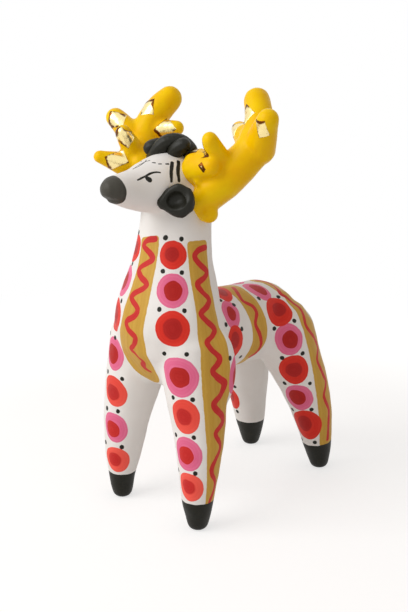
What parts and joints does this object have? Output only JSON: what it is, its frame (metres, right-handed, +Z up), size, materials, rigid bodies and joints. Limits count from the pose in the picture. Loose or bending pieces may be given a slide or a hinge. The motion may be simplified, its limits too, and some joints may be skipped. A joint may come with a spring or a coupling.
{
  "type": "deer folk toy",
  "caption": "Hand-modelled fired clay deer that stands on cone legs, whitewashed and painted with rings, bands and waves, with finger-like yellow antlers set with gold leaf.",
  "frame": {"origin": "on the ground, under the middle of the box round the whole figure", "axes": "+Z up; the deer faces -Y and its left side is +X"},
  "size_m": [0.094, 0.1254, 0.1886],
  "materials": {
    "painted_clay": "matte whitewash on fired clay, painted over with tempera in ochre, red, pink, white and black",
    "black_tempera": "satin black tempera on fired clay",
    "yellow_tempera": "satin yellow tempera on fired clay",
    "gold_leaf": "thin metal leaf, bright and slightly crinkled"
  },
  "bodies": {
    "root": {"barrel": "painted_clay", "neck": "painted_clay", "head": "painted_clay", "foreleg_left": "painted_clay", "foreleg_right": "painted_clay", "hind_leg_left": "painted_clay", "hind_leg_right": "painted_clay", "tail": "painted_clay", "ear_left": "black_tempera", "ear_right": "black_tempera", "forelock_strand_front": "black_tempera", "forelock_strand_rear": "black_tempera", "antler_beam_left": "yellow_tempera", "antler_outer_finger_left": "yellow_tempera", "antler_brow_tine_left": "yellow_tempera", "antler_front_tine_left": "yellow_tempera", "antler_inner_tine_left": "yellow_tempera", "antler_beam_right": "yellow_tempera", "antler_outer_finger_right": "yellow_tempera", "antler_brow_tine_right": "yellow_tempera", "antler_front_tine_right": "yellow_tempera", "antler_inner_tine_right": "yellow_tempera", "gold_leaf_outer_finger_left": "gold_leaf", "gold_leaf_brow_tine_left": "gold_leaf", "gold_leaf_front_tine_left": "gold_leaf", "gold_leaf_inner_tine_left": "gold_leaf", "gold_leaf_rear_finger_left": "gold_leaf", "gold_leaf_beam_root_left": "gold_leaf", "gold_leaf_outer_finger_right": "gold_leaf", "gold_leaf_brow_tine_right": "gold_leaf", "gold_leaf_front_tine_right": "gold_leaf", "gold_leaf_inner_tine_right": "gold_leaf", "gold_leaf_rear_finger_right": "gold_leaf"}
  },
  "joints": []
}
